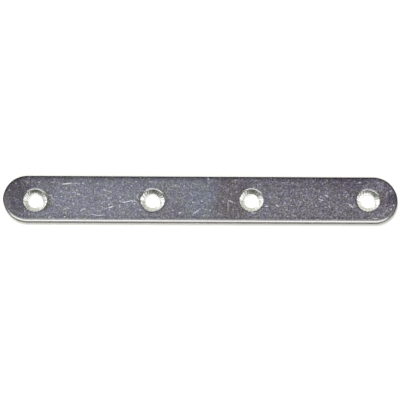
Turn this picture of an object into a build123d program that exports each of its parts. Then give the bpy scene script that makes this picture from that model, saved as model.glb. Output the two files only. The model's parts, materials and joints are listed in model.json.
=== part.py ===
"""Mending plate: a straight, blanked steel strap with two full-radius ends and
four countersunk screw holes in one row.

The plate lies flat.  Its underside is z = 0, the countersinks open upwards, and
the origin is the middle of the underside.  +X runs along the plate, +Y across
it, +Z through its thickness.  All lengths are in millimetres.
"""

import os
from math import radians, tan

from build123d import *

# --- blank -----------------------------------------------------------------
length = 152.4  # over both round ends (a nominal 6 in plate)
width = 18.0
thickness = 3.0
roll_radius = 0.55  # rounding that the blanking die leaves round the top face
under_break = 0.12  # small break round the underside, where the burr was taken off

# --- screw holes -------------------------------------------------------------
hole_d = 5.4  # clears a No. 10 (4.8 mm) wood screw
sink_d = 9.35  # mouth of the countersink at the top face
sink_angle = 82.0  # included angle of the cone
mouth_break = 0.08  # the mouth of the cone is not a knife edge
exit_break = 0.10  # nor is the lower edge of the hole

outer_pitch = 128.40  # between the two end holes
inner_pitch = 38.22  # between the two middle holes
row_shift_x = 0.46  # the punched row sits a little towards +X ...
row_shift_y = -0.37  # ... and a little off the middle line,
row_turn = 0.20  # and is turned by this many degrees about Z

# --- what follows from them ----------------------------------------------------
sink_depth = (sink_d - hole_d) / 2 / tan(radians(sink_angle / 2))
land = thickness - sink_depth  # straight wall left under the cone

hole_x = (-outer_pitch / 2, -inner_pitch / 2, inner_pitch / 2, outer_pitch / 2)

# The row of holes has its own plane on the top face: shifted and turned slightly.
row = Plane(
    origin=(row_shift_x, row_shift_y, thickness), z_dir=(0, 0, 1)
).rotated((0, 0, row_turn))

# --- the plate -------------------------------------------------------------------
with BuildPart() as plate:
    # the blank: a strap whose ends are half circles as wide as the plate
    with BuildSketch(Plane.XY):
        SlotOverall(length, width)
    extrude(amount=thickness)

    # die roll round the top face, and the small break round the underside
    outline_top = plate.faces().sort_by(Axis.Z)[-1].outer_wire().edges()
    fillet(outline_top, radius=roll_radius)
    outline_under = plate.faces().sort_by(Axis.Z)[0].outer_wire().edges()
    chamfer(outline_under, length=under_break)

    # the four screw holes, countersunk from the top
    with Locations(row):
        with Locations([(x, 0) for x in hole_x]):
            CounterSinkHole(
                radius=hole_d / 2,
                counter_sink_radius=sink_d / 2,
                counter_sink_angle=sink_angle,
            )

    # the edges of each hole: the mouth of its cone and its lower rim
    mouths = (
        plate.edges()
        .filter_by(GeomType.CIRCLE)
        .filter_by(lambda e: abs(e.radius - sink_d / 2) < 1e-3)
    )
    chamfer(mouths, length=mouth_break)
    rims = (
        plate.edges()
        .filter_by(GeomType.CIRCLE)
        .filter_by(lambda e: abs(e.radius - hole_d / 2) < 1e-3)
        .group_by(Axis.Z)[0]
    )
    chamfer(rims, length=exit_break)

plate.part.label = "plate"

os.makedirs("parts", exist_ok=True)
export_step(plate.part, "parts/plate.step")

print(f"countersink depth {sink_depth:.3f}, land {land:.3f}")
for face in plate.faces().filter_by(GeomType.CYLINDER).sort_by(Axis.X):
    c = face.center()
    if face.radius < hole_d / 2 + 0.01 and face.radius > 1:
        print(f"hole axis at x {face.axis_of_rotation.position.X:.3f} y {face.axis_of_rotation.position.Y:.3f}")
print(f"volume {plate.part.volume:.1f} mm3, steel {plate.part.volume * 7.85e-6:.4f} kg")
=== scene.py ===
"""Mending plate, seen from above and a little in front, lying on a pale floor.

The plate is one mesh that stands for the CAD node "plate": the blank with its
die roll, burnished and broken bands round the side, four countersinks with the
chatter that the cutter leaves, and the nicks and scratches of a handled plate.
"""
import json
import math

import bpy
import numpy as np
from mathutils import Matrix, Vector, noise
from mathutils.geometry import delaunay_2d_cdt


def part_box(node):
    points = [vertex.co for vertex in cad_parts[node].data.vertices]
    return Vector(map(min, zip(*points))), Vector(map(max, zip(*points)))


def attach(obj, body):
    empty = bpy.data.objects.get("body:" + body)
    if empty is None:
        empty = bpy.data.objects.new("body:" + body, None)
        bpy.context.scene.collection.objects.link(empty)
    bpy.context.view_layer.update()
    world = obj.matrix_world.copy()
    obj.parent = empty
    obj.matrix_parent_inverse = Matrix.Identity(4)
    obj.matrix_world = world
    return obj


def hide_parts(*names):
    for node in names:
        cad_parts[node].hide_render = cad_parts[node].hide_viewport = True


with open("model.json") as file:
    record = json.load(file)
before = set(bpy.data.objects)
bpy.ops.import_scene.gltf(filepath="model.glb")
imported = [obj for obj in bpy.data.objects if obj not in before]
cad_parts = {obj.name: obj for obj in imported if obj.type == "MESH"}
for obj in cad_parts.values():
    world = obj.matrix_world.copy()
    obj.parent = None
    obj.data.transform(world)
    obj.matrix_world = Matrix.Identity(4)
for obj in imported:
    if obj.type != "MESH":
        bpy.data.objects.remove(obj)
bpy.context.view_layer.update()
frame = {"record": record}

# ---------------------------------------------------------------------------
# sizes in mm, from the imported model
# ---------------------------------------------------------------------------
low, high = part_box("plate")
HX = min(-low[0], high[0]) * 1000.0           # half length
HY = min(-low[1], high[1]) * 1000.0           # half width
T = high[2] * 1000.0                          # thickness
R = HY                                        # radius of the round ends
A = HX - R                                    # half length of the straight sides
ROLL_W, ROLL_H = 0.74, 0.52                   # die roll round the top face: wider than deep
BREAK = 0.12                                  # small break round the underside
HOLES = sorted(
    (m["pos_m"][0] * 1000.0, m["pos_m"][1] * 1000.0, m["dims"]["r_mm"])
    for m in frame["record"]["mounts"]
    if m["kind"] == "bore"
)
R_HOLE = HOLES[0][2]
R_MOUTH = 4.675                               # mouth of the countersink
# each mouth's lip every 45 degrees, anticlockwise from +X: the cutter was a little off centre and not equally deep
MOUTHS = (
    (4.55, 4.46, 4.29, 4.51, 4.68, 4.67, 4.69, 4.60),
    (4.72, 4.62, 4.44, 4.64, 4.72, 4.64, 4.64, 4.52),
    (4.56, 4.57, 4.52, 4.66, 4.67, 4.66, 4.63, 4.42),
    (4.58, 4.32, 4.17, 4.34, 4.44, 4.55, 4.57, 4.45),
)
SLOPE = math.tan(math.radians(41.0))          # half of the cone's 82 degrees
Z_LAND = T - (R_MOUTH - R_HOLE) / SLOPE       # where the straight wall begins


def fbm(x, y, scale, seed, octaves=3):
    """Smooth noise, about -1 to 1, at points in mm; scale is its longest wavelength."""
    return np.array([
        noise.fractal((a / scale, b / scale, seed * 7.31), 1.0, 2.0, octaves)
        for a, b in zip(x, y)
    ])


def smooth(a, b, x):
    t = np.clip((x - a) / (b - a), 0.0, 1.0)
    return t * t * (3.0 - 2.0 * t)


# ---------------------------------------------------------------------------
# wear on the top face, mm: lines rubbed into the zinc, and single nicks
# each line: its points, how bright it is; each nick: x, y, how bright it is
# ---------------------------------------------------------------------------
LINES = [
    ([(-53.5, 5.6), (-51.7, 5.8), (-49.6, 6.1)], 1.0),
    ([(-48.9, 5.7), (-48.0, 6.1)], 0.6),
    ([(-47.6, 1.6), (-46.5, 1.7)], 0.9),
    ([(-46.6, -5.1), (-45.5, -4.3), (-44.5, -3.7)], 0.8),
    ([(-38.5, -2.1), (-37.2, -1.1)], 0.6),
    ([(-42.4, -6.2), (-40.6, -6.5), (-39.1, -6.7), (-37.2, -6.3)], 0.6),
    ([(-35.8, -3.6), (-34.7, -3.4), (-33.8, -3.0)], 1.0),
    ([(-30.5, -1.5), (-28.8, -1.3), (-26.9, -0.8), (-24.7, -1.1)], 0.8),
    ([(-31.1, 1.2), (-31.2, 0.2)], 0.6),
    ([(-31.2, -0.6), (-31.1, -1.5)], 0.5),
    ([(-31.2, -2.2), (-31.3, -3.7)], 0.6),
    ([(-24.7, 1.6), (-24.5, 0.2)], 0.6),
    ([(-20.3, 6.5), (-19.4, 6.8), (-18.6, 6.6)], 0.5),
    ([(-8.7, -5.8), (-7.7, -5.2)], 0.9),
    ([(-4.6, 2.6), (-3.8, 2.1), (-3.3, 1.1)], 0.6),
    ([(-3.3, -6.1), (-1.8, -5.1), (-0.3, -3.8)], 0.6),
    ([(10.3, -0.4), (11.3, -0.8), (12.5, -1.4)], 0.8),
    ([(10.4, -0.9), (10.4, -2.7), (10.4, -4.8)], 0.6),
    ([(11.9, 6.9), (13.4, 7.5), (15.0, 7.6)], 0.4),
    ([(24.6, -2.7), (25.9, -2.8)], 1.0),
    ([(28.7, -2.3), (29.5, -2.6), (30.1, -3.0)], 0.9),
    ([(40.4, 4.5), (41.3, 3.5)], 0.6),
    ([(45.5, 0.2), (46.4, -0.2), (47.3, -0.3)], 0.9),
    ([(48.0, 1.9), (48.7, 1.3), (49.2, 0.9)], 0.9),
    ([(48.0, 7.7), (48.4, 7.8), (48.9, 7.6), (49.1, 7.1)], 0.5),
    ([(57.0, -1.6), (58.0, -2.5), (58.9, -3.2)], 0.9),
    ([(72.3, 3.5), (72.0, 2.3), (71.5, 0.7)], 0.5),
    ([(65.8, -7.2), (67.1, -7.4), (68.3, -7.5)], 0.7),
    ([(-37.3, 3.5), (-36.0, 3.0), (-34.5, 2.7)], 0.5),
    ([(-58.0, 1.3), (-57.5, 0.7), (-57.0, -0.1)], 0.7),
    ([(-59.4, 3.4), (-58.7, 3.0)], 0.6),
    ([(-58.6, 1.0), (-57.5, 1.3)], 0.6),
    ([(-58.5, -0.4), (-57.3, -0.3)], 0.5),
    ([(-58.7, -1.8), (-57.7, -2.3)], 0.4),
    ([(18.9, -5.2), (20.2, -5.5), (21.3, -5.3)], 0.7),
]
SPOTS = [
    (-56.9, 6.2, 0.9), (-54.6, 6.1, 0.6), (-45.4, 6.1, 0.9), (-43.7, 3.2, 0.7), (-40.1, 5.8, 0.6),
    (-40.1, 8.0, 0.5), (-37.4, 3.5, 0.8), (-50.2, 0.5, 0.8), (-49.1, -1.9, 0.8), (-49.0, -2.4, 0.7),
    (-52.2, -4.1, 0.8), (-51.0, -3.9, 0.6), (-52.5, -7.2, 0.9), (-58.1, -7.3, 0.7), (-59.3, -5.9, 0.6),
    (-35.6, 0.1, 0.7), (-35.3, -2.2, 0.8), (-25.6, -2.1, 0.7), (-23.4, -4.5, 0.7), (-26.6, 5.0, 0.5),
    (-30.0, 5.5, 0.6), (-34.3, 5.0, 0.5), (-10.8, -4.6, 0.9), (-3.1, -1.3, 1.0), (0.3, -0.9, 0.8),
    (1.9, -4.1, 0.6), (-5.5, -2.7, 0.6), (2.8, 7.8, 0.8), (-9.5, -1.1, 0.7), (-6.5, 5.2, 0.6),
    (1.1, -6.5, 0.7), (7.3, 1.2, 0.7), (8.6, -0.9, 0.8), (12.4, -4.2, 0.6), (13.7, 2.8, 0.7),
    (29.3, 0.6, 0.8), (34.8, -0.3, 1.0), (34.8, -2.5, 0.9), (31.0, 2.3, 0.6), (36.8, 2.4, 0.6),
    (32.5, -1.7, 0.7), (31.7, -2.3, 0.7), (32.9, -4.0, 0.6), (28.5, 7.9, 0.6), (35.4, 6.5, 0.7),
    (38.4, -1.1, 0.7), (42.8, -1.4, 0.7), (40.2, -3.9, 0.8), (41.5, 0.5, 0.6), (33.5, -6.8, 0.6),
    (46.2, 1.2, 1.0), (46.1, -0.8, 0.8), (45.8, 3.4, 0.9), (47.0, 6.2, 0.6), (48.0, 6.7, 0.8),
    (51.8, 1.5, 0.6), (56.1, 1.2, 0.9), (59.2, -2.0, 0.9), (58.2, 3.7, 0.5), (55.1, 5.8, 0.5),
    (46.5, -5.5, 0.6), (48.3, -3.1, 0.7), (49.6, -2.6, 0.6), (50.3, -6.7, 0.7), (44.5, -2.6, 0.6),
    (68.8, 6.8, 0.8), (61.7, 6.8, 0.8), (73.6, 3.3, 0.7), (74.5, -2.1, 1.0), (73.5, -3.7, 1.0),
    (71.5, -2.0, 0.7), (65.0, -5.6, 0.6), (-66.2, 7.9, 0.8), (-66.8, 6.3, 0.7), (-64.8, 6.7, 0.6),
    (-65.0, 5.0, 0.6), (-71.1, 5.9, 0.7), (-62.4, 6.4, 0.7), (-66.0, -6.3, 0.8), (-73.6, 3.2, 0.9),
]

rng = np.random.default_rng(20731)


def in_hole(x, y, grow):
    out = np.zeros(len(x), bool)
    for hx, hy, _ in HOLES:
        out |= np.hypot(x - hx, y - hy) < grow
    return out


def inside(x, y, off):
    """Inside the plate's outline moved in by off."""
    return np.hypot(np.maximum(np.abs(x) - A, 0.0), y) < R - off


# hairlines: fine, faint, mostly lengthwise, as plates get from sliding over each other
HAIRS = []
while len(HAIRS) < 150:
    hx, hy = rng.uniform(-HX, HX), rng.uniform(-HY, HY)
    turn = rng.normal(0.0, 0.5) if rng.random() < 0.7 else rng.uniform(0, math.pi)
    size = rng.uniform(0.7, 3.6)
    bend = rng.normal(0.0, 0.03) * size
    u = np.linspace(-0.5, 0.5, 5)
    c, s = math.cos(turn), math.sin(turn)
    along, across = u * size, bend * (1 - 4 * u * u)
    pts = np.c_[hx + along * c - across * s, hy + along * s + across * c]
    if inside(pts[:, 0], pts[:, 1], 1.3).all() and not in_hole(pts[:, 0], pts[:, 1], 5.3).any():
        HAIRS.append((pts, rng.uniform(0.08, 0.26)))


def resample(pts, step):
    pts = np.asarray(pts, float)
    seg = np.hypot(*np.diff(pts, axis=0).T)
    at = np.r_[0.0, np.cumsum(seg)]
    n = max(int(round(at[-1] / step)), 2)
    s = np.linspace(0.0, at[-1], n + 1)
    out = np.c_[np.interp(s, at, pts[:, 0]), np.interp(s, at, pts[:, 1])]
    d = np.gradient(out, axis=0)
    d /= np.maximum(np.hypot(d[:, 0], d[:, 1]), 1e-9)[:, None]
    return out, np.c_[-d[:, 1], d[:, 0]], s / at[-1]


# every groove as (points, side normals, half width and depth along it, brightness)
GROOVES = []
for pts, b in LINES:
    p, n, s = resample(pts, 0.12)
    ends = np.sqrt(np.clip(np.minimum(s, 1 - s) * 7.0, 0.02, 1.0))
    jag = 0.8 + 0.35 * rng.random(len(p))
    GROOVES.append((p, n, 0.104 * (0.7 + 0.5 * b) * ends * jag, 0.026 * b * ends * jag, 0.95 * b))
for pts, b in HAIRS:
    p, n, s = resample(pts, 0.22)
    ends = np.sqrt(np.clip(np.minimum(s, 1 - s) * 5.0, 0.02, 1.0))
    GROOVES.append((p, n, 0.060 * ends, 0.008 * ends, b))


def wear_at(x, y):
    """(height change in mm, brightness 0 to 1) that the marks make at each point."""
    dz, bright = np.zeros(len(x)), np.zeros(len(x))
    for p, n, w, d, b in GROOVES:
        reach = 3.2 * w.max()
        near = np.where(
            (x > p[:, 0].min() - reach) & (x < p[:, 0].max() + reach)
            & (y > p[:, 1].min() - reach) & (y < p[:, 1].max() + reach)
        )[0]
        if not len(near):
            continue
        q = np.c_[x[near], y[near]]
        best = np.full(len(near), 1e9)
        ww, dd = np.zeros(len(near)), np.zeros(len(near))
        for i in range(len(p) - 1):
            e = p[i + 1] - p[i]
            t = np.clip(((q - p[i]) @ e) / max(e @ e, 1e-12), 0.0, 1.0)
            dist = np.hypot(*(q - (p[i] + t[:, None] * e)).T)
            got = dist < best
            best[got] = dist[got]
            ww[got] = (w[i] + (w[i + 1] - w[i]) * t)[got]
            dd[got] = (d[i] + (d[i + 1] - d[i]) * t)[got]
        u = best / np.maximum(ww, 1e-3)
        cut = -dd * np.clip(1 - u, 0, 1) + 0.22 * dd * np.exp(-((u - 1.35) / 0.38) ** 2)
        dz[near] += cut
        bright[near] = np.maximum(bright[near], b * (1 - smooth(0.9, 1.6, u)))
    for nx, ny, b, w, d, turn, long in NICKS:
        c, s = math.cos(turn), math.sin(turn)
        u = np.hypot(((x - nx) * c + (y - ny) * s) / (w * long), (-(x - nx) * s + (y - ny) * c) / w)
        near = u < 3
        dz[near] += -d * np.clip(1 - u[near] ** 1.5, 0, 1) + 0.25 * d * np.exp(-((u[near] - 1.3) / 0.35) ** 2)
        bright[near] = np.maximum(bright[near], b * (1 - smooth(0.7, 1.5, u[near])))
    return dz, bright


NICKS = []
for sx, sy, b in SPOTS:
    NICKS.append((sx, sy, 0.9 * b, 0.10 + 0.07 * b, 0.030 * b, rng.normal(0, 0.6), rng.uniform(1.2, 2.6)))
while len(NICKS) < len(SPOTS) + 190:  # the many small ones
    nx, ny = rng.uniform(-HX, HX), rng.uniform(-HY, HY)
    one = np.array([nx]), np.array([ny])
    if inside(*one, 1.1)[0] and not in_hole(*one, 5.0)[0]:
        NICKS.append((nx, ny, rng.uniform(0.12, 0.42), rng.uniform(0.08, 0.14), rng.uniform(0.006, 0.014),
                      rng.uniform(0, math.pi), rng.uniform(1.0, 2.2)))

# ---------------------------------------------------------------------------
# the outline, anticlockwise from the near left corner of the straight side
# ---------------------------------------------------------------------------
N_SIDE, N_END = 384, 84
ox, oy, nx_, ny_, oa = [], [], [], [], []
for i in range(N_SIDE):
    ox.append(-A + 2 * A * i / N_SIDE); oy.append(-R); nx_.append(0.0); ny_.append(1.0)
for i in range(N_END):
    a = -math.pi / 2 + math.pi * i / N_END
    ox.append(A + R * math.cos(a)); oy.append(R * math.sin(a)); nx_.append(-math.cos(a)); ny_.append(-math.sin(a))
for i in range(N_SIDE):
    ox.append(A - 2 * A * i / N_SIDE); oy.append(R); nx_.append(0.0); ny_.append(-1.0)
for i in range(N_END):
    a = math.pi / 2 + math.pi * i / N_END
    ox.append(-A + R * math.cos(a)); oy.append(R * math.sin(a)); nx_.append(-math.cos(a)); ny_.append(-math.sin(a))
OX, OY, NX, NY = (np.array(v) for v in (ox, oy, nx_, ny_))
N = len(OX)
# the ends aren't perfect half circles: the left one is a little pointed, the right one full at its near shoulder
ang = np.degrees(np.arctan2(OY, np.abs(OX) - A))
fade = np.where(np.abs(OX) > A, np.cos(np.radians(np.clip(ang, -90, 90))) ** 0.5, 0.0)
DEV = np.where(OX < 0,
               0.05 + 0.20 * (1 - np.exp(-((ang + 1) / 13.0) ** 2)),
               0.03 + 0.18 * smooth(-8, 45, ang) - 0.11 * np.exp(-((ang + 45) / 30.0) ** 2)) * fade
DEV += 0.012 * (1 + fbm(OX, OY, 6.0, 3))
arc_len = np.r_[0, np.cumsum(np.hypot(np.diff(OX), np.diff(OY)))]

roll_w = ROLL_W * (1 + 0.10 * fbm(OX, OY, 9.0, 5, 2))
roll = ROLL_H * (1 + 0.08 * fbm(OX, OY, 11.0, 6, 2))
shear = 1.25 + 0.22 * fbm(OX, OY, 5.0, 8, 4)                     # height of the broken band
rough_a = fbm(OX * 1.0, OY * 1.0, 1.1, 9, 3)
rough_b = fbm(OX * 1.0, OY * 1.0, 0.8, 12, 3)
rough_c = fbm(OX * 1.0, OY * 1.0, 1.4, 15, 3)
stripe = fbm(OX * 1.0, OY * 1.0, 0.7, 17, 2)                     # upright drag lines of the die


def painted_highlight_at(x, y):
    """1 where the edge faces the front and takes the painted highlight, 0 elsewhere."""
    out_y = y / np.maximum(np.hypot(np.maximum(np.abs(x) - A, 0.0), y), 1e-6)
    return np.where(x < 0, smooth(0.52, 0.84, -out_y), smooth(0.70, 0.94, -out_y))


def top_height(x, y):
    """The face without its marks: flat, with a very slight wave and edges that fall away."""
    wave = 0.010 * fbm(x, y, 24.0, 21, 2) + 0.004 * fbm(x, y, 6.0, 22, 2)
    inner = R - np.hypot(np.maximum(np.abs(x) - A, 0.0), y)      # distance in from the outline
    back = smooth(-0.2, 0.6, y / R)                               # tighter along the far edge
    out_y = y / np.maximum(np.hypot(np.maximum(np.abs(x) - A, 0.0), y), 1e-6)
    front = smooth(0.35, 0.85, -out_y)                            # a broader dip along the near one
    d = np.maximum(inner - ROLL_W, 0.0)
    fall = (1 - front) * (0.100 - 0.025 * back) * np.exp(-d / (0.78 - 0.30 * back))
    fall += front * 0.098 * np.clip(1 - d / 2.0, 0.0, 1.0) ** 2
    lip = np.zeros(len(x))
    for hx, hy, _ in HOLES:                                       # the cutter drags the mouth down a little
        d = np.hypot(x - hx, y - hy) - R_MOUTH
        lip -= 0.006 * np.exp(-np.maximum(d, 0.0) / 0.30)
    return T - 0.020 + wave - fall + lip


top0 = top_height(OX + NX * (ROLL_W + DEV), OY + NY * (ROLL_W + DEV))
# the front-facing part of the edge, where a highlight is painted into the colour
painted_highlight = painted_highlight_at(OX, OY)
rows = []                                                        # (offset in, height, sheared side with its painted shade, broken)
K_ROLL = 9
for k in range(K_ROLL + 1):
    f = math.radians(90.0 * k / K_ROLL)
    # the side's painted shade climbs the steeper part of the roll, and stops lower where the highlight is painted
    dark = np.clip((k / K_ROLL - 0.26 - 0.36 * painted_highlight) / 0.25, 0.0, 1.0)
    rows.append((roll_w * (1 - math.sin(f)) + DEV, top0 - roll * (1 - math.cos(f)), dark, 0.0))
z_roll = top0 - roll
for f, bulge in ((0.25, 0.004), (0.55, 0.002), (0.85, 0.006)):
    rows.append((DEV + bulge + 0.006 * (1 + stripe), z_roll + (shear - z_roll) * f, 1.0, 0.0))
rows.append((DEV + 0.016 + 0.010 * stripe, shear, 1.0, 0.35))
rows.append((DEV + 0.050 + 0.035 * rough_a, shear - 0.10, 1.0, 1.0))
for f, r3 in ((0.30, rough_b), (0.55, rough_c), (0.80, rough_a)):
    rows.append((DEV + 0.060 + 0.045 * r3, shear * (1 - f) + BREAK * f, 1.0, 1.0))
rows.append((DEV + 0.050 + 0.03 * rough_b, BREAK + 0 * shear, 1.0, 0.9))
rows.append((DEV + 0.09 + 0.02 * rough_c, 0.035 + 0 * shear, 0.6, 0.6))
rows.append((DEV + 0.19 + 0.03 * rough_a, 0 * shear, 0.0, 0.2))
K = len(rows) - 1

verts, att = [], {"worn": [], "cone": [], "broken": [], "side": [], "rim": [], "edge": [], "under": [], "tone": [], "stain": [], "band": []}


def add(x, y, z, **a):
    first = sum(len(v) for v in verts)
    verts.append(np.c_[x, y, z])
    for k in att:
        att[k].append(np.broadcast_to(np.asarray(a.get(k, 0.0), float), (len(x),)).copy())
    return np.arange(first, first + len(x))


ring = []
for i, (off, z, sd, br) in enumerate(rows):
    ring.append(add(OX + NX * off, OY + NY * off, z, side=sd, broken=br, edge=painted_highlight * (i <= K_ROLL)))

faces4, faces3 = [], []


def skin(upper, lower, inward=False):
    a, b = upper, lower
    a2, b2 = np.roll(a, -1), np.roll(b, -1)
    faces4.append(np.c_[a, a2, b2, b] if inward else np.c_[a, b, b2, a2])


for k in range(K):
    skin(ring[k], ring[k + 1])

# ---------------------------------------------------------------------------
# the countersunk holes
# ---------------------------------------------------------------------------
NH = 192
TH = np.arange(NH) * 2 * math.pi / NH
# where the cutter's chatter left a ridge in each cone, degrees anticlockwise from +X
RIDGES = (
    (0, 10, 20, 36, 56, 76, 94, 112, 127, 143, 155, 167, 184, 200, 217, 235, 252, 268, 286, 304, 322, 342),
    (2, 16, 32, 50, 66, 80, 97, 114, 130, 149, 186, 206, 222, 238, 256, 270, 288, 306, 324, 344),
    (-2, 12, 40, 58, 76, 92, 108, 124, 140, 158, 174, 186, 205, 224, 242, 262, 282, 300, 320, 346),
    (-10, 10, 36, 54, 72, 92, 110, 130, 150, 164, 182, 202, 220, 236, 252, 272, 290, 312, 332),
)
# patches of painted shade (-) and painted light (+) on the cones:
# angle, depth from 0 at the mouth to 1 at the straight wall, half angle, half depth, how much
PATCHES = (
    ((83, 0.38, 13, 0.22, -0.45), (104, 0.50, 12, 0.35, -0.30), (20, 0.25, 5, 0.40, -0.35), (0, 0.2, 4, 0.3, -0.20),
     (56, 0.45, 8, 0.3, -0.15), (220, 0.3, 7, 0.4, -0.15), (188, 0.4, 5, 0.4, -0.15)),
    ((80, 0.32, 7, 0.25, -0.60), (62, 0.5, 10, 0.4, -0.10), (0, 0.3, 9, 0.5, -0.08),
     (208, 0.25, 10, 0.3, -0.15), (112, 0.5, 10, 0.4, -0.12)),
    ((76, 0.34, 13, 0.25, -0.45), (100, 0.25, 6, 0.2, -0.35), (145, 0.4, 14, 0.6, 0.20), (200, 0.4, 6, 0.5, -0.12),
     (350, 0.35, 6, 0.4, -0.20), (250, 0.4, 16, 0.4, -0.10)),
    ((61, 0.28, 5, 0.25, 0.60), (82, 0.22, 6, 0.18, 0.30), (70, 0.45, 5, 0.3, -0.22), (49, 0.72, 8, 0.25, -0.35),
     (92, 0.35, 6, 0.25, -0.25), (140, 0.2, 16, 0.2, -0.22), (170, 0.4, 9, 0.5, 0.15),
     (325, 0.3, 14, 0.3, 0.15)),
)


def tone(h, theta, depth):
    """How bright cone h is painted: darker on its far and near walls as painted shade, with patches of its own."""
    t = np.mod(np.degrees(theta), 360.0)
    far = smooth(38, 66, t) * (1 - smooth(100, 124, t))
    near = smooth(170, 212, t) * (1 - smooth(274, 326, t))
    out = 1.0 - far * (0.04 * (1 - depth) + 0.18 * np.exp(-((depth - 0.33) / 0.26) ** 2))
    out = out - 0.49 * near * (0.82 + 0.18 * depth)
    for angle, half, much in ((0, 12, 0.08), (182, 8, 0.42)):
        out = out * (1 - much * np.exp(-((np.mod(t - angle + 180.0, 360.0) - 180.0) / half) ** 2))
    for angle, deep, half, half_deep, much in PATCHES[h]:
        d = np.abs(np.mod(t - angle + 180.0, 360.0) - 180.0)
        out = out * (1 + much * np.exp(-((d / half) ** 2) - ((depth - deep) / half_deep) ** 2))
    return out


hole_rings = []
for h, (hx, hy, _) in enumerate(HOLES):
    r1 = np.random.default_rng(500 + h)
    ridges = np.radians(RIDGES[h])
    n = len(ridges)
    phase0 = ridges[0]
    edge = np.r_[ridges - phase0, 2 * math.pi]
    tall = np.clip(1 + 0.25 * r1.standard_normal(n), 0.6, 1.5) * np.clip(np.diff(edge) / 0.30, 0.5, 1.0)
    mid = np.degrees(ridges + np.diff(edge) / 2)
    tall *= 1 - 0.55 * np.exp(-((mid - 27) / 24.0) ** 2)           # shallower on this side

    def chatter(theta):
        """(scallop depth, how near the ridge between two scallops) at each angle"""
        t = np.mod(theta - phase0, 2 * math.pi)
        i = np.clip(np.searchsorted(edge, t, side="right") - 1, 0, n - 1)
        u = (t - edge[i]) / (edge[i + 1] - edge[i])
        return (4 * u * (1 - u) - 0.6) * tall[i], np.clip(1 - np.minimum(u, 1 - u) / 0.17, 0.0, 1.0)

    out_round = 0.012 * np.sin(2 * TH + h) + 0.010 * np.sin(3 * TH + 2 * h)
    wave = np.fft.rfft(MOUTHS[h]) / 8
    lip_r = wave[0].real + wave[4].real * np.cos(4 * TH)
    for j in (1, 2, 3):
        lip_r = lip_r + 2 * (wave[j] * np.exp(1j * j * TH)).real
    soft = smooth(-0.1, 0.7, np.sin(TH))                              # the far lip is more rounded than the near one
    teeth = chatter(TH)[0]
    mouth_r = lip_r + out_round + 0.04 * teeth
    grow = lip_r - R_MOUTH - 0.07 * soft
    mx, my = hx + mouth_r * np.cos(TH), hy + mouth_r * np.sin(TH)
    mz = top_height(mx, my)
    # the lip is painted darker than the wall, most on the far side: painted shade
    rings = [add(mx, my, mz, cone=0.5, rim=0.5, tone=(0.80 - 0.16 * soft) * tone(h, TH, 0.0))]

    def level(r, z, depth, **a):
        crest = chatter(TH - 0.16 * depth)[1]                      # painted shade along each ridge
        shade = tone(h, TH - 0.16 * depth, depth) * (1 - 0.34 * crest * (1 - 0.3 * depth))
        rings.append(add(hx + r * np.cos(TH), hy + r * np.sin(TH), z + 0 * TH, tone=shade, **a))

    level(mouth_r - 0.012 - 0.035 * soft, mz - 0.005 - 0.013 * soft, 0.0, cone=0.8)
    level(mouth_r - 0.024 - 0.068 * soft, mz - 0.016 - 0.042 * soft, 0.0, cone=1.0)
    zs = np.linspace(T - 0.15, Z_LAND + 0.05, 10)
    for j, z in enumerate(zs):
        depth = (T - z) / (T - Z_LAND)
        amp = 0.078 * (0.7 + 0.3 * math.sin(math.pi * depth)) * (1 - 0.45 * depth)
        twist = 0.16 * depth
        grain = 0.004 * np.sin(61 * TH + 9 * z + h)
        r = R_HOLE + (z - Z_LAND) * SLOPE + (grow + out_round) * (1 - depth) + amp * chatter(TH - twist)[0] + grain
        level(r, z, depth, cone=1.0)
    lobes = 0.012 * np.sin(5 * TH + h) + 0.010 * np.sin(11 * TH + 3 * h)
    level(R_HOLE + 0.010 + lobes, Z_LAND - 0.03, 1.0, cone=1.0)
    level(R_HOLE + 0.000 + lobes, Z_LAND - 0.22, 1.0, cone=0.8, broken=0.15)
    level(R_HOLE + 0.010 + 1.5 * lobes, 0.26, 1.0, cone=0.6, broken=0.4)
    level(R_HOLE + 0.030 + 1.5 * lobes, 0.09, 1.0, cone=0.5, broken=0.5)
    level(R_HOLE + 0.10 + lobes, 0.0, 1.0, cone=0.2, broken=0.3)
    for j in range(len(rings) - 1):
        skin(rings[j], rings[j + 1], inward=True)
    hole_rings.append(rings)

# ---------------------------------------------------------------------------
# the two flat faces, filled between the rings
# ---------------------------------------------------------------------------


def hexes(step, jitter, seed):
    g = np.random.default_rng(seed)
    rows_n = int(2 * R / (step * 0.866)) + 2
    cols_n = int(2 * (A + R) / step) + 2
    jj, ii = np.mgrid[0:rows_n, 0:cols_n]
    x = -A - R + (ii + 0.5 * (jj % 2)) * step
    y = -R + jj * step * 0.866
    x, y = x.ravel(), y.ravel()
    return x + g.normal(0, jitter * step, len(x)), y + g.normal(0, jitter * step, len(y))


def fill(outer, inner, px_, py_):
    """Triangles between the outer ring and the hole rings, through the loose points."""
    xyz = np.vstack(verts)
    fixed = np.r_[outer, np.concatenate(inner)]
    pts = np.vstack([xyz[fixed, :2], np.c_[px_, py_]])
    edges, at = [], 0
    for loop in [outer, *inner]:
        n = len(loop)
        edges += [(at + i, at + (i + 1) % n) for i in range(n)]
        at += n
    out = delaunay_2d_cdt([Vector(p) for p in pts.tolist()], edges, [], 0, 1e-7)
    back = np.array([o[0] if o else -1 for o in out[3]])
    tris = np.array([f for f in out[2] if len(f) == 3])
    tris = back[tris]
    c = pts[tris].mean(axis=1)
    keep = np.ones(len(tris), bool)
    for loop_no, loop in enumerate([outer, *inner]):
        p = xyz[loop, :2]
        if loop_no == 0:                                          # no sliver outside the outline
            keep &= ~((tris < len(outer)).all(axis=1) & ~in_polygon(c, p))
        else:
            hx, hy, _ = HOLES[loop_no - 1]
            keep &= ~((np.hypot(c[:, 0] - hx, c[:, 1] - hy) < np.hypot(*(p - (hx, hy)).T).max())
                      & in_polygon(c, p))
    return tris[keep], fixed


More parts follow.
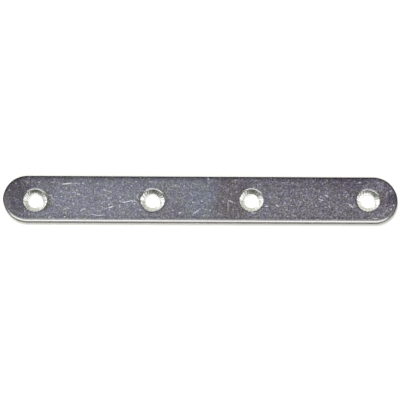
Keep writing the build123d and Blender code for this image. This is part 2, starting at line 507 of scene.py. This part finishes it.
def in_polygon(c, p):
    x, y = c[:, 0], c[:, 1]
    hit = np.zeros(len(c), bool)
    x0, y0 = p[:, 0], p[:, 1]
    x1, y1 = np.roll(x0, -1), np.roll(y0, -1)
    lo = min(y0.min(), y1.min())
    sel = np.where((x > x0.min()) & (x < x0.max()) & (y > y0.min()) & (y < y0.max()))[0]
    for s in range(0, len(sel), 2000):
        k = sel[s:s + 2000]
        X, Y = x[k, None], y[k, None]
        cross = ((y0 > Y) != (y1 > Y)) & (X < (x1 - x0) * (Y - y0) / np.where(y1 == y0, 1e-12, y1 - y0) + x0)
        hit[k] = cross.sum(axis=1) % 2 == 1
    return hit


# loose points of the top face: an even field, closer round the mouths and along every mark
gx, gy = hexes(0.335, 0.06, 1)
ok = inside(gx, gy, ROLL_W + 0.36) & ~in_hole(gx, gy, R_MOUTH + 0.72)
gx, gy = gx[ok], gy[ok]
ex, ey = [], []
for hx, hy, _ in HOLES:
    for d, n in ((0.30, 176), (0.44, 150), (0.60, 120)):
        a = np.arange(n) * 2 * math.pi / n + d
        ex.append(hx + (R_MOUTH + 0.085 + d) * np.cos(a)); ey.append(hy + (R_MOUTH + 0.085 + d) * np.sin(a))
lines_x, lines_y = [], []
for p, n, w, d, b in GROOVES:
    for f in ((0.0, 0.55, -0.55, 1.15, -1.15, 1.9, -1.9) if w.max() > 0.065 else (0.0, 1.1, -1.1)):
        q = p + n * (f * np.maximum(w, 0.05))[:, None]
        lines_x.append(q[:, 0]); lines_y.append(q[:, 1])
for nx1, ny1, b, w, d, turn, long in NICKS:
    c, s = math.cos(turn), math.sin(turn)
    lines_x.append(np.array([nx1])); lines_y.append(np.array([ny1]))
    for f, n in (((0.55, 6), (1.05, 9), (1.6, 12)) if w > 0.15 else ((1.0, 6),)):
        a = np.arange(n) * 2 * math.pi / n + f
        u, v = f * w * long * np.cos(a), f * w * np.sin(a)
        lines_x.append(nx1 + u * c - v * s); lines_y.append(ny1 + u * s + v * c)
lx, ly = np.concatenate(lines_x), np.concatenate(lines_y)
ok = inside(lx, ly, ROLL_W + 0.30) & ~in_hole(lx, ly, R_MOUTH + 0.36)
lx, ly = lx[ok], ly[ok]


def thin(x, y, least):
    """Drops each point that lies closer than least to one kept before it."""
    cell, kept = {}, []
    for i, (a, b) in enumerate(zip(x / least, y / least)):
        c = (int(math.floor(a)), int(math.floor(b)))
        if any((a - x0) ** 2 + (b - y0) ** 2 < 1
               for u in (-1, 0, 1) for v in (-1, 0, 1)
               for x0, y0 in cell.get((c[0] + u, c[1] + v), ())):
            continue
        cell.setdefault(c, []).append((a, b))
        kept.append(i)
    return np.array(kept)


k = thin(lx, ly, 0.045)
lx, ly = lx[k], ly[k]
ex, ey = np.concatenate(ex), np.concatenate(ey)
allx, ally = np.r_[lx, ex, gx], np.r_[ly, ey, gy]
# the even field gives way where marks have their own points
cells = {}
for a, b in zip(lx, ly):
    cells.setdefault((int(a // 0.2), int(b // 0.2)), []).append((a, b))
keep = np.ones(len(gx), bool)
for i, (a, b) in enumerate(zip(gx, gy)):
    c = (int(a // 0.2), int(b // 0.2))
    keep[i] = not any((a - p) ** 2 + (b - q) ** 2 < 0.13 ** 2
                      for u in (-1, 0, 1) for v in (-1, 0, 1) for p, q in cells.get((c[0] + u, c[1] + v), ()))
tx, ty = np.r_[lx, ex, gx[keep]], np.r_[ly, ey, gy[keep]]

tris, fixed = fill(ring[0], [r[0] for r in hole_rings], tx, ty)
dz, bright = wear_at(tx, ty)
near_rim = np.min([np.hypot(tx - hx, ty - hy) - R_MOUTH for hx, hy, _ in HOLES], axis=0)
halo = np.exp(-np.maximum(near_rim - 0.1, 0.0) / 0.30)
tz = np.minimum(top_height(tx, ty) + dz, T)
stain = np.zeros(len(tx))
for (hx, hy, _), angle, half, r0, r1, much, streak in (            # smears beside the mouths
        (HOLES[0], -4, 42, 4.8, 6.6, 1.35, 0.75), (HOLES[1], 12, 52, 4.9, 5.9, 0.8, 0.3),
        (HOLES[1], 150, 30, 4.8, 5.5, 0.7, 0.2), (HOLES[2], 134, 13, 4.8, 6.0, 1.2, 0.0),
        (HOLES[3], 2, 38, 4.8, 6.4, 0.5, 0.3), (HOLES[3], 150, 30, 4.7, 5.5, 0.7, 0.2)):
    d, a = np.hypot(tx - hx, ty - hy), np.degrees(np.arctan2(ty - hy, tx - hx))
    off = np.abs(np.mod(a - angle + 180, 360) - 180) / half
    ray = 1 + streak * np.sin(a * 0.62 + 2.2 * np.sin(a * 0.19))    # drawn out into rays
    reach = 1 - smooth(r0 + 0.3, r1, d + 0.35 * (1 - ray))
    stain = np.maximum(stain, much * reach * np.exp(-off ** 4) * np.clip(0.45 + 0.55 * ray, 0, 1.3))
to_edge = R - np.hypot(np.maximum(np.abs(tx) - A, 0.0), ty) - ROLL_W
out_y = ty / np.maximum(np.hypot(np.maximum(np.abs(tx) - A, 0.0), ty), 1e-6)
# painted shade: the darker reflection the face shows just inside the near highlight
painted_dark_line = smooth(0.2, 0.8, -out_y) * np.exp(-((to_edge - 0.85) / 0.6) ** 2)      # a darker line inside the near edge
# edge: the painted highlight, carried a little way onto the face behind the front edge
loose = add(tx, ty, tz, worn=bright, rim=halo, stain=stain, band=painted_dark_line, edge=painted_highlight_at(tx, ty) * np.clip(1 - to_edge / 0.25, 0, 1))
faces3.append(np.r_[fixed, loose][tris])

bx, by = hexes(0.72, 0.08, 2)
ok = inside(bx, by, 0.62) & ~in_hole(bx, by, R_HOLE + 0.62)
bx, by = bx[ok], by[ok]
tris, fixed = fill(ring[K], [r[-1] for r in hole_rings], bx, by)
bz = np.clip(0.006 * fbm(bx, by, 14.0, 31, 3), 0.0, None)
loose = add(bx, by, bz, under=1.0)
faces3.append(np.r_[fixed, loose][tris][:, ::-1])

xyz = np.vstack(verts)
att = {k: np.concatenate(v) for k, v in att.items()}
att["under"][ring[K]] = 1.0
for rings in hole_rings:
    att["under"][rings[-1]] = 1.0

quads, tri = np.vstack(faces4), np.vstack(faces3)
# every face anticlockwise seen from outside
n = np.cross(xyz[tri[:, 1]] - xyz[tri[:, 0]], xyz[tri[:, 2]] - xyz[tri[:, 0]])[:, 2]
top_tri = xyz[tri][:, :, 2].mean(axis=1) > T / 2
wrong = (n < 0) == top_tri
tri[wrong] = tri[wrong][:, ::-1]

mesh = bpy.data.meshes.new("mending_plate")
mesh.from_pydata((xyz / 1000.0).tolist(), [], quads.tolist() + tri.tolist())
mesh.validate()
mesh.update()
for k, v in att.items():
    mesh.attributes.new(k, "FLOAT", "POINT").data.foreach_set("value", v.astype(np.float32))
mesh.shade_smooth()
plate = bpy.data.objects.new("mending_plate", mesh)
bpy.context.scene.collection.objects.link(plate)
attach(plate, "root")
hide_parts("plate")
print("triangles", 2 * len(quads) + len(tri), "points", len(xyz))


# ---------------------------------------------------------------------------
# node helper
# ---------------------------------------------------------------------------
class Nodes:
    def __init__(self, tree):
        self.t = tree
        tree.nodes.clear()

    def new(self, kind, **values):
        n = self.t.nodes.new(kind)
        for k, v in values.items():
            setattr(n, k, v)
        return n

    def put(self, socket, value):
        if hasattr(value, "is_output"):
            self.t.links.new(value, socket)
        else:
            socket.default_value = value

    def math(self, op, a, b=None, c=None, clamp=False):
        n = self.new("ShaderNodeMath", operation=op, use_clamp=clamp)
        self.put(n.inputs[0], a)
        if b is not None:
            self.put(n.inputs[1], b)
        if c is not None:
            self.put(n.inputs[2], c)
        return n.outputs[0]

    def remap(self, v, a, b, c=0.0, d=1.0, kind="SMOOTHSTEP"):
        n = self.new("ShaderNodeMapRange", interpolation_type=kind, clamp=True)
        for s, x in zip(n.inputs[:5], (v, a, b, c, d)):
            self.put(s, x)
        return n.outputs[0]

    def vec(self, op, a, b=None):
        n = self.new("ShaderNodeVectorMath", operation=op)
        self.put(n.inputs[0], a)
        if b is not None:
            self.put(n.inputs[1], b)
        return n.outputs["Value"] if op in ("DOT_PRODUCT", "LENGTH", "DISTANCE") else n.outputs[0]

    def noise(self, vector, scale, detail=2.0, rough=0.5, distort=0.0):
        n = self.new("ShaderNodeTexNoise")
        self.put(n.inputs["Vector"], vector)
        self.put(n.inputs["Scale"], scale)
        self.put(n.inputs["Detail"], detail)
        self.put(n.inputs["Roughness"], rough)
        self.put(n.inputs["Distortion"], distort)
        return n.outputs[0]

    def scaled(self, vector, s, move=(0, 0, 0)):
        n = self.new("ShaderNodeMapping")
        self.put(n.inputs["Vector"], vector)
        n.inputs["Scale"].default_value = s
        n.inputs["Location"].default_value = move
        return n.outputs[0]

    def mix(self, f, a, b, kind="MIX"):
        n = self.new("ShaderNodeMix", data_type="RGBA", blend_type=kind)
        self.put(n.inputs[0], f)
        self.put(n.inputs[6], a)
        self.put(n.inputs[7], b)
        return n.outputs[2]

    def flecks(self, vector, scale, size, share):
        """(mask, strength) of small round flecks: share of the cells hold one, none larger than size in cells"""
        v = self.new("ShaderNodeTexVoronoi", voronoi_dimensions="3D", feature="F1")
        self.put(v.inputs["Vector"], vector)
        self.put(v.inputs["Scale"], scale)
        pick = self.new("ShaderNodeSeparateColor")
        self.put(pick.inputs[0], v.outputs["Color"])
        own = self.remap(pick.outputs[1], 0.0, 1.0, 0.45 * size, size, "LINEAR")
        dot = self.math("DIVIDE", v.outputs["Distance"], own)
        dot = self.remap(dot, 0.55, 1.0, 1.0, 0.0)
        chosen = self.math("LESS_THAN", pick.outputs[0], share)
        return self.math("MULTIPLY", self.math("MULTIPLY", dot, chosen), self.remap(pick.outputs[2], 0.0, 1.0, 0.35, 1.0, "LINEAR"))

    def attr(self, name):
        return self.new("ShaderNodeAttribute", attribute_type="GEOMETRY", attribute_name=name).outputs["Fac"]


def rgb(r, g, b):
    return (r, g, b, 1.0)


# ---------------------------------------------------------------------------
# zinc plate
# ---------------------------------------------------------------------------
# broad stains and worn places, with some painted shade and reflection: centre, half axes, softness, tint
STAINS_AND_PAINTED_SHADE = (
    ((-74.5, 1.5), (10.5, 10.0), 0.35, (0.57, 0.54, 0.55)),      # the left end, dark and violet
    ((-72.0, 5.5), (6.0, 5.0), 0.60, (0.88, 0.86, 0.85)),
    ((-58.0, 7.2), (9.0, 4.0), 0.55, (0.88, 0.86, 0.85)),        # beyond the first hole
    ((-42.0, -0.2), (24.0, 7.0), 0.70, (1.11, 1.14, 1.17)),      # paler, bluer stretch
    ((0.5, 0.5), (6.5, 6.5), 0.45, (1.00, 1.06, 1.09)),          # bluer, up to a fairly sharp border
    ((12.0, 0.5), (6.8, 10.5), 0.32, (0.81, 0.74, 0.71)),        # brown-violet before the third hole
    # painted shade along the far edge
    ((38.0, 8.4), (32.0, 4.2), 0.55, (0.84, 0.82, 0.86)),        # along the far edge, right
    ((56.0, 7.0), (8.0, 4.0), 0.60, (0.82, 0.80, 0.84)),         # darker still short of the last hole
    ((74.5, 0.6), (4.0, 3.4), 0.55, (0.66, 0.65, 0.71)),          # right end
    ((71.5, -5.2), (5.0, 2.4), 0.60, (1.16, 1.18, 1.16)),        # paler shoulder nearer the front
    # painted reflection on the left end's rim
    ((-75.8, -1.6), (1.5, 5.0), 0.50, (1.20, 1.21, 1.12)),       # and a pale rim at the left end
    ((69.5, 7.0), (6.0, 4.0), 0.60, (1.12, 1.13, 1.15)),         # paler beyond it
    ((70.0, -0.4), (1.8, 3.2), 0.60, (1.12, 1.03, 0.98)),        # brown beside the last hole
    # painted shade along the far edge
    ((-38.0, 9.6), (36.0, 2.6), 0.60, (0.84, 0.84, 0.85)),       # along the far edge, left
    ((-12.0, -5.0), (6.5, 3.0), 0.60, (0.95, 0.91, 0.88)),       # brown below the second
)

mat = bpy.data.materials.new("zinc_plate")
mat.use_nodes = True
N_ = Nodes(mat.node_tree)
out = N_.new("ShaderNodeOutputMaterial")
bsdf = N_.new("ShaderNodeBsdfPrincipled")
N_.t.links.new(bsdf.outputs[0], out.inputs[0])
mm = N_.scaled(N_.new("ShaderNodeTexCoord").outputs["Object"], (1000, 1000, 1000))

worn, cone, broken, side, rim, edge, toned, smear, band = (
    N_.attr(k) for k in ("worn", "cone", "broken", "side", "rim", "edge", "tone", "stain", "band"))

grain1 = N_.noise(mm, 1.75, 1.2, 0.6)         # the zinc's grain, about 0.3 mm
grain2 = N_.noise(mm, 3.9, 1.0, 0.5)         # and the finer one
wander = N_.new("ShaderNodeVectorMath", operation="MULTIPLY_ADD")
warp = N_.new("ShaderNodeTexNoise")
N_.put(warp.inputs["Vector"], mm)
warp.inputs["Scale"].default_value = 0.22
warp.inputs["Detail"].default_value = 3.0
N_.put(wander.inputs[0], N_.vec("SUBTRACT", warp.outputs["Color"], (0.5, 0.5, 0.5)))
wander.inputs[1].default_value = (7.0, 7.0, 0.0)
N_.put(wander.inputs[2], mm)
loose_mm = wander.outputs[0]


def patch(centre, size, soft):
    """1 at centre, falling to 0 at the edge of an ellipse with half axes size, in mm"""
    v = N_.vec("SUBTRACT", loose_mm, (centre[0], centre[1], 0.0))
    v = N_.vec("MULTIPLY", v, (1.0 / size[0], 1.0 / size[1], 0.0))
    return N_.remap(N_.vec("LENGTH", v), 1.0 - soft, 1.0 + soft, 1.0, 0.0)


sx = N_.new("ShaderNodeSeparateXYZ")
N_.put(sx.inputs[0], loose_mm)
# darker and less blue towards the right: partly the zinc's own tone, partly painted shade for the dimmer reflection
# on that side
col = N_.mix(N_.remap(sx.outputs[0], 6, 44), rgb(0.540, 0.545, 0.645), rgb(0.494, 0.466, 0.552))
clean = col
for centre, size, soft, tint in STAINS_AND_PAINTED_SHADE:
    col = N_.mix(patch(centre, size, soft), col, N_.mix(1.0, col, rgb(*tint), "MULTIPLY"))
col = N_.mix(N_.attr("under"), col, clean)   # the back keeps its even zinc
blot = N_.noise(mm, 0.30, 2.0, 0.5)          # small clouds of the passivation, violet to olive
col = N_.mix(N_.remap(blot, 0.42, 0.62), N_.mix(1.0, col, rgb(0.985, 0.965, 1.03), "MULTIPLY"),
             N_.mix(1.0, col, rgb(1.02, 1.035, 0.95), "MULTIPLY"))
many = N_.remap(sx.outputs[0], 10, 34, 0.36, 0.48)        # more of them on the right half
bright = N_.flecks(mm, 1.15, 0.46, many)
pits = N_.flecks(N_.scaled(mm, (1, 1, 1), (31.7, 12.3, 5.1)), 1.15, 0.50, 0.40)
speck = N_.math("POWER", N_.remap(grain1, 0.28, 0.72, 0.0, 1.0, "LINEAR"), 1.7)
speck = N_.math("MULTIPLY_ADD", speck, N_.remap(sx.outputs[0], 8, 30, 0.98, 1.36), N_.remap(sx.outputs[0], 8, 30, 0.635, 0.52))
speck = N_.math("ADD", speck, N_.remap(grain2, 0.25, 0.75, -0.12, 0.12, "LINEAR"))
speck = N_.math("SUBTRACT", speck, N_.math("MULTIPLY", pits, 0.24))
drag = N_.noise(N_.scaled(mm, (2.3, 0.5, 1.0)), 1.0, 1.0, 0.5)      # short upright streaks, left and middle
drag = N_.math("MULTIPLY", N_.math("SUBTRACT", drag, 0.5), N_.remap(sx.outputs[0], 8, 22, 0.42, 0.2))
speck = N_.math("ADD", speck, drag)
comb = N_.new("ShaderNodeCombineXYZ")
for s in comb.inputs:
    N_.put(s, speck)
col = N_.mix(1.0, col, comb.outputs[0], "MULTIPLY")
col = N_.mix(N_.math("MULTIPLY", rim, 0.25), col, N_.mix(1.0, col, rgb(0.72, 0.72, 0.62), "MULTIPLY"))
# the face darkened in a line just inside the near edge: painted shade
col = N_.mix(band, col, N_.mix(1.0, col, rgb(0.66, 0.67, 0.63), "MULTIPLY"))
col = N_.mix(smear, col, N_.mix(1.0, col, rgb(0.60, 0.60, 0.42), "MULTIPLY"))
dull = N_.math("MAXIMUM", worn, N_.math("MULTIPLY", bright, 0.52))       # rubbed dull and pale
dull = N_.math("MULTIPLY", dull, N_.math("SUBTRACT", 1.0, cone))
dull = N_.math("MULTIPLY", dull, N_.math("SUBTRACT", 1.0, N_.math("MAXIMUM", side, broken)))
# lighter grey where the edge faces the front: painted highlight
col = N_.mix(edge, col, rgb(0.68, 0.675, 0.67))
# the cones' colour: painted shade darkens their far and near walls and turns olive where it is deepest
shaded_cone_colour = N_.mix(toned, rgb(0.0, 0.0, 0.0), rgb(0.965, 0.968, 0.960))
shaded_cone_colour = N_.mix(N_.remap(toned, 0.35, 0.80, 1.0, 0.0), shaded_cone_colour, N_.mix(1.0, shaded_cone_colour, rgb(0.985, 1.0, 0.88), "MULTIPLY"))
col = N_.mix(cone, col, shaded_cone_colour)
# near black on the sheared side and the roll's steep part: painted shade for the dark that the side reflects
col = N_.mix(side, col, rgb(0.070, 0.066, 0.064))
# dark brown on the broken band: its own brown, darkened further as painted shade
col = N_.mix(N_.math("MULTIPLY", broken, 0.9), col, rgb(0.19, 0.17, 0.145))
col = N_.mix(N_.math("MULTIPLY", dull, 0.9), col, rgb(0.84, 0.83, 0.86))
N_.put(bsdf.inputs["Metallic"], N_.remap(dull, 0.0, 1.0, 1.0, 0.35, "LINEAR"))
N_.put(bsdf.inputs["Base Color"], col)

rough = N_.math("ADD", N_.remap(grain2, 0.2, 0.8, 0.22, 0.34, "LINEAR"), N_.math("MULTIPLY", worn, 0.25))
rough = N_.math("ADD", rough, N_.math("MULTIPLY", broken, 0.25))
rough = N_.math("SUBTRACT", rough, N_.math("MULTIPLY", cone, 0.10))
N_.put(bsdf.inputs["Roughness"], rough)

flat = N_.math("SUBTRACT", 1.0, N_.math("MULTIPLY", cone, 0.8))
height = N_.math("ADD", N_.math("MULTIPLY", grain1, 0.030), N_.math("MULTIPLY", grain2, 0.010))
height = N_.math("MULTIPLY", height, flat)
bump = N_.new("ShaderNodeBump")
bump.inputs["Strength"].default_value = 1.0
bump.inputs["Distance"].default_value = 0.001
N_.put(bump.inputs["Height"], height)
N_.put(bsdf.inputs["Normal"], bump.outputs[0])
mesh.materials.append(mat)

# ---------------------------------------------------------------------------
# floor
# ---------------------------------------------------------------------------
floor_mesh = bpy.data.meshes.new("floor")
S = 6.0
floor_mesh.from_pydata([(-S, -S, 0), (S, -S, 0), (S, S, 0), (-S, S, 0)], [], [(0, 1, 2, 3)])
floor = bpy.data.objects.new("floor", floor_mesh)
bpy.context.scene.collection.objects.link(floor)
fm = bpy.data.materials.new("floor_paper")
fm.use_nodes = True
F_ = Nodes(fm.node_tree)
fo = F_.new("ShaderNodeOutputMaterial")
fd = F_.new("ShaderNodeBsdfDiffuse")
fd.inputs["Color"].default_value = rgb(0.90, 0.90, 0.868)
F_.t.links.new(fd.outputs[0], fo.inputs[0])
floor_mesh.materials.append(fm)
# the plate's underside rests on z = 0, so the paper is a hair below it
floor.location.z = -0.00002

# ---------------------------------------------------------------------------
# soft studio light: one wide panel high in front, a grey ceiling, dark behind
# and to the right; an overhead light that only the paper takes
# ---------------------------------------------------------------------------
scene = bpy.context.scene
world = bpy.data.worlds.new("studio")
scene.world = world
world.use_nodes = True
W = Nodes(world.node_tree)
wo = W.new("ShaderNodeOutputWorld")
bg = W.new("ShaderNodeBackground")
W.t.links.new(bg.outputs[0], wo.inputs[0])
d = W.new("ShaderNodeTexCoord").outputs["Generated"]
sep = W.new("ShaderNodeSeparateXYZ")
W.put(sep.inputs[0], d)
dx, dy, dz = sep.outputs
tilt = W.math("MULTIPLY", W.math("ARCTAN2", W.math("MULTIPLY", dy, -1.0), dz), 180.0 / math.pi)


def band(v, a, b, c, d_):
    """0 below a, 1 from b to c, 0 above d_"""
    up = W.remap(v, a, b)
    down = W.remap(v, c, d_, 1.0, 0.0)
    return W.math("MULTIPLY", up, down)


# how bright it is from the back (-) over the zenith (0) to the front (+): degrees, strength
ARCH = ((-60, 0.03), (-40, 0.05), (-34, 0.08), (-29, 0.13), (-24, 0.20), (-20, 0.27), (-16, 0.35), (-12.8, 0.39),
        (-8, 0.38), (-4, 0.35), (-1, 0.38), (3, 0.64), (6, 1.16), (9, 1.42), (12, 1.44), (16, 1.42), (20, 1.38),
        (26, 1.38), (40, 1.54), (58, 1.60), (66, 1.05), (74, 0.42), (90, 0.36))
ramp = W.new("ShaderNodeValToRGB")
W.put(ramp.inputs[0], W.remap(tilt, -60, 90, 0.0, 1.0, "LINEAR"))
stops = ramp.color_ramp.elements
while len(stops) < len(ARCH):
    stops.new(0.5)
for stop, (deg, strength) in zip(stops, ARCH):
    stop.position = (deg + 60) / 150
    stop.color = (strength / 2, strength / 2, strength / 2, 1.0)
arch = W.math("MULTIPLY", ramp.outputs[0], 2.0)
across = W.math("MULTIPLY", W.remap(dx, -0.05, 0.34, 1.0, 0.42), W.remap(dx, -1.0, -0.5, 0.6, 1.0))
panel = band(dx, -0.92, -0.62, 0.45, 0.78)
share = W.remap(tilt, 0, 10)
k = W.math("ADD", W.math("MULTIPLY", across, W.math("SUBTRACT", 1.0, share)), W.math("MULTIPLY", panel, share))
total = W.math("ADD", W.math("MULTIPLY", arch, k), 0.03)
W.put(bg.inputs["Strength"], total)
bg.inputs["Color"].default_value = rgb(1.0, 0.995, 0.99)

sun = bpy.data.lights.new("overhead", "SUN")
sun.energy = 2.70
sun.angle = math.radians(28)
so = bpy.data.objects.new("overhead", sun)
so.rotation_euler = Vector((-0.14, 0.35, 1.0)).to_track_quat("Z", "Y").to_euler()
so.visible_glossy = False
scene.collection.objects.link(so)

# ---------------------------------------------------------------------------
# camera: long lens, leaning 12.8 degrees to the front and 3 to the left
# ---------------------------------------------------------------------------
cam = bpy.data.cameras.new("camera")
cam.sensor_width = 36.0
DIST = 1.05
cam.lens = 36.0 * DIST / 0.15424
cam.clip_start, cam.clip_end = 0.01, 60.0
co = bpy.data.objects.new("camera", cam)
scene.collection.objects.link(co)
scene.camera = co
lean_y, lean_x = math.radians(12.8), math.radians(3.0)
toward = Vector((-math.tan(lean_x), -math.tan(lean_y), 1.0)).normalized()
target = Vector((-0.00031, -0.00005, 0.0015))
zc = toward
xc = (Vector((1, 0, 0)) - zc * zc.x).normalized()
yc = zc.cross(xc)
turn = math.radians(0.26)
xr = xc * math.cos(turn) + yc * math.sin(turn)
yr = zc.cross(xr)
at = target + toward * DIST
co.matrix_world = Matrix(((xr.x, yr.x, zc.x, at.x), (xr.y, yr.y, zc.y, at.y), (xr.z, yr.z, zc.z, at.z), (0, 0, 0, 1)))

scene.view_settings.view_transform = "Standard"
scene.view_settings.look = "None"
scene.view_settings.exposure = 0.0
scene.view_settings.gamma = 1.0
